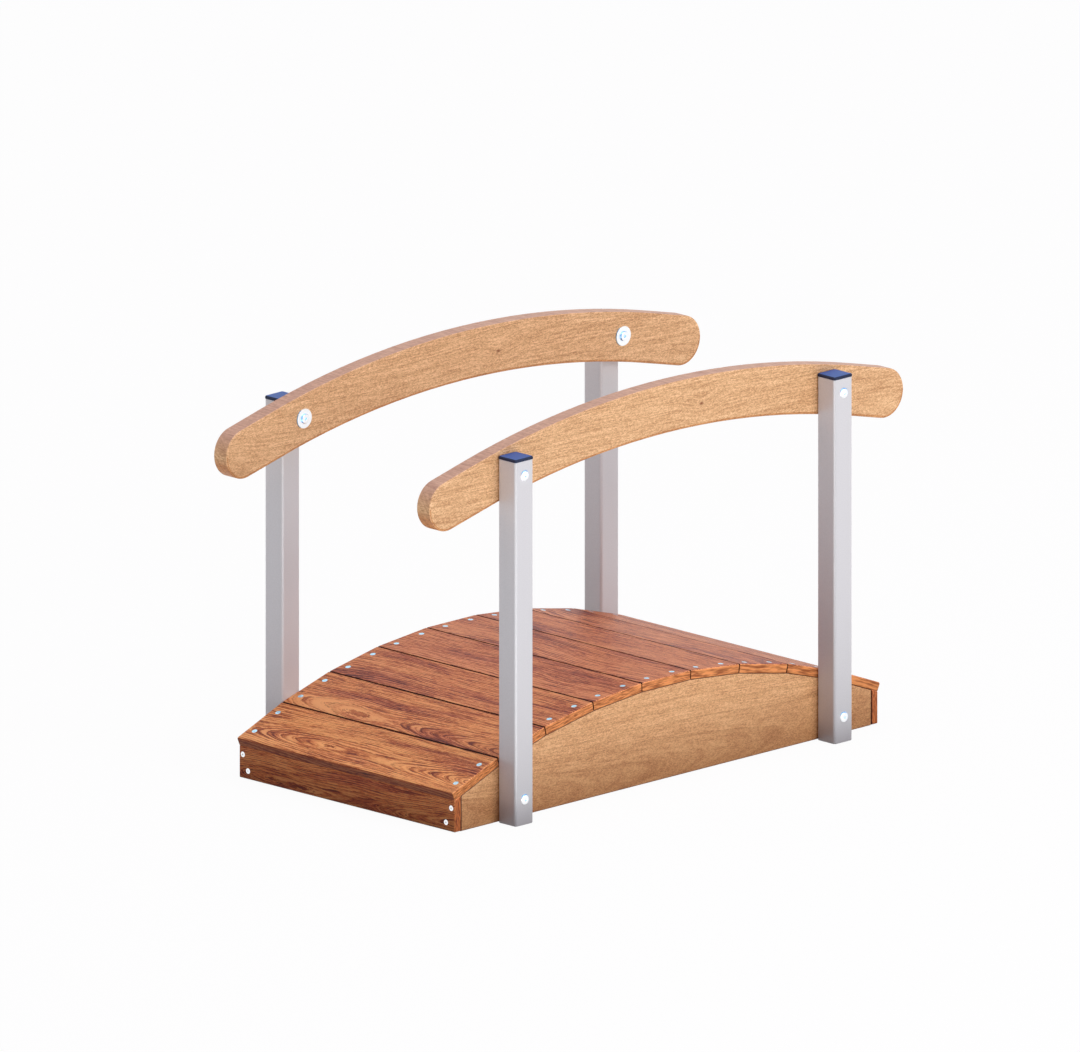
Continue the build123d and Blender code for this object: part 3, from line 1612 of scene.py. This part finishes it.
@dataclass
class Studio:
    """Pale floor, soft lights and the camera of the photograph."""

    # Camera
    photo_width: int = 1080
    photo_height: int = 1052
    pixels_per_metre: float = 508.0
    ground_centre_pixel: tuple[float, float] = (558.56, 751.07)
    azimuth: float = -45.0
    elevation: float = 15.0
    camera_distance: float = 8.0

    # Floor: mostly plain white, with the shadow in the rest, and dim close to and under the bridge
    floor_size: float = 60.0
    floor_paint: Colour = (0.9, 0.9, 0.9)
    floor_white_share: float = 0.95
    floor_glow: float = 1.03
    glow_grows: Span = Span(0.03, 0.30)
    footprint: Triple = (0.6, 0.36, 1.0)
    under_deck: Triple = (0.57, 0.26, 1.0)
    under_glow: float = 0.45

    # Sky: brighter and a little mauve overhead
    horizon_glow: float = 0.07
    zenith_glow: float = 2.05
    zenith_tint: Colour = (0.95, 0.85, 1.0)
    sky_steepness: float = 4.0

    lamps: tuple[SoftBox, ...] = (
        SoftBox(
            name="key",
            place=(1.2, -7.0, 3.0),
            aim=(0.0, 0.0, 0.35),
            size=3.8,
            power=250.0,
            colour=(1.0, 0.99, 0.98),
        ),
        SoftBox(
            name="gleam",
            place=(-1.5, -1.5, 0.01),
            aim=(-1.5, -1.5, 1.0),
            size=2.0,
            power=38.0,
            only_gleams=True,
        ),
        SoftBox(
            name="top_gleam",
            place=(-0.6, -0.6, 3.6),
            aim=(0.0, 0.0, 0.4),
            size=3.0,
            power=60.0,
            only_gleams=True,
        ),
    )

    def shows_backdrop(self, graph: Graph) -> Socket:
        """Share of rays that see the white backdrop instead of its light.

        Args:
            graph: the node graph to add to.

        Returns:
            1 for camera, glossy and transmission rays.
        """
        path = graph.add("ShaderNodeLightPath").outputs
        seen = graph.maths("MAXIMUM", path["Is Camera Ray"], path["Is Glossy Ray"])
        return graph.maths("MAXIMUM", seen, path["Is Transmission Ray"])

    def floor_material(self) -> bpy.types.Material:
        """Builds the floor's finish, which is clear from below.

        Returns:
            The material.
        """
        graph = Graph("studio_floor")
        geometry = graph.add("ShaderNodeNewGeometry").outputs
        ground = graph.vector("ABSOLUTE", geometry["Position"])
        beyond = graph.vector("MAXIMUM", graph.vector("SUBTRACT", ground, self.footprint), ORIGIN)
        glow = graph.span(graph.vector("LENGTH", beyond), self.glow_grows, Span(0.0, self.floor_glow))
        around = graph.parts(graph.vector("SUBTRACT", ground, self.under_deck))
        is_open = graph.maths("GREATER_THAN", graph.maths("MAXIMUM", around["X"], around["Y"]), 0.0)
        glow = graph.maths("ADD", glow, graph.span(is_open, UNIT, Span(self.under_glow, 0.0)))
        bounce = graph.add("ShaderNodeEmission", Color=WHITE, Strength=glow).outputs["Emission"]
        lit = graph.add("ShaderNodeBsdfDiffuse", Color=self.floor_paint).outputs["BSDF"]
        white = graph.add("ShaderNodeEmission", Color=WHITE, Strength=1.0).outputs["Emission"]
        clear = graph.add("ShaderNodeBsdfTransparent").outputs["BSDF"]
        seen = graph.mix_shaders(graph.maths("MULTIPLY", is_open, self.floor_white_share), lit, white)
        above = graph.mix_shaders(self.shows_backdrop(graph), bounce, seen)
        graph.surface(graph.mix_shaders(geometry["Backfacing"], above, clear))
        return graph.material

    def build_floor(self) -> None:
        """Lays the floor."""
        half = self.floor_size / 2
        corners = [(-half, -half, 0.0), (half, -half, 0.0), (half, half, 0.0), (-half, half, 0.0)]
        mesh = bpy.data.meshes.new("floor")
        mesh.from_pydata(corners, [], [tuple(range(len(corners)))])
        mesh.materials.append(self.floor_material())
        link("floor", mesh)

    def build_world(self) -> None:
        """Gives the world a soft light that shows as white."""
        world = bpy.data.worlds.new("studio")
        bpy.context.scene.world = world
        graph = WorldGraph(world)
        way = graph.parts(graph.add("ShaderNodeTexCoord").outputs["Generated"])
        rise = graph.span(way["Z"], UNIT)
        steep = graph.maths("POWER", rise, self.sky_steepness)
        glow = graph.span(steep, UNIT, Span(self.horizon_glow, self.zenith_glow))
        tint = graph.blend("MIX", rise, WHITE, self.zenith_tint)
        ambient = graph.add("ShaderNodeBackground", Color=tint, Strength=glow).outputs["Background"]
        white = graph.add("ShaderNodeBackground", Color=WHITE, Strength=1.0).outputs["Background"]
        graph.surface(graph.mix_shaders(self.shows_backdrop(graph), ambient, white))

    def build_camera(self) -> None:
        """Sets the camera at the photograph's angle and framing."""
        turn, rise = math.radians(self.azimuth), math.radians(self.elevation)
        back = Vector((math.sin(turn) * math.cos(rise), -math.cos(turn) * math.cos(rise), math.sin(rise)))
        right = Vector((math.cos(turn), math.sin(turn), 0.0))
        up = back.cross(right)
        lens = bpy.data.cameras.new("camera")
        lens.type = "ORTHO"
        lens.ortho_scale = self.photo_width / self.pixels_per_metre
        centre_x, centre_y = self.ground_centre_pixel
        across = (self.photo_width / 2 - centre_x) / self.pixels_per_metre
        upward = (centre_y - self.photo_height / 2) / self.pixels_per_metre
        camera = link("camera", lens)
        camera.location = right * across + up * upward + back * self.camera_distance
        camera.rotation_mode = "QUATERNION"
        camera.rotation_quaternion = (-back).to_track_quat("-Z", "Y")
        bpy.context.scene.camera = camera

    def build(self) -> None:
        """Builds the floor, the lights and the camera."""
        bpy.context.scene.view_settings.view_transform = "Standard"
        self.build_floor()
        self.build_world()
        for lamp in self.lamps:
            lamp.hang()
        self.build_camera()


def main() -> None:
    """Builds the bridge's looks, then the studio."""
    logging.basicConfig(level=logging.INFO, format="%(name)s %(message)s")
    zinc = BrightZinc().material()
    screw_zinc = BrightZinc("screw_zinc", srgb(210, 244, 255), srgb(170, 224, 255)).material()
    # A lighter, warmer copy of the handrail timber: the lift is painted light on the low, shaded stringers
    stringer_timber = LightTimber(
        name="stringer_timber",
        pale=srgb(254, 204, 150),
        middle=srgb(232, 175, 123),
        deep=srgb(200, 140, 92),
    ).material()
    rail_timber = LightTimber(has_knot=True).material()
    # A redder, slightly lighter copy of the deck hardwood: painted light fitted to the end boards' shaded
    # faces
    end_hardwood = DeckHardwood(
        name="end_hardwood",
        pale=srgb(252, 170, 106),
        middle=srgb(227, 130, 76),
        deep=srgb(193, 97, 56),
        dark=srgb(117, 51, 39),
        end_pale=srgb(232, 136, 80),
        end_dark=srgb(132, 66, 40),
    ).material()

    SideTimbers().build(stringer_timber, rail_timber)
    deck = Deck()
    deck.build_planks(DeckHardwood().material(), screw_zinc)
    deck.build_end_boards(end_hardwood, zinc)
    Posts().build(PostPaint().material(), CapPlastic().material())
    ThroughBolts().build(zinc)
    Studio().build()


if __name__ == "__main__":
    main()
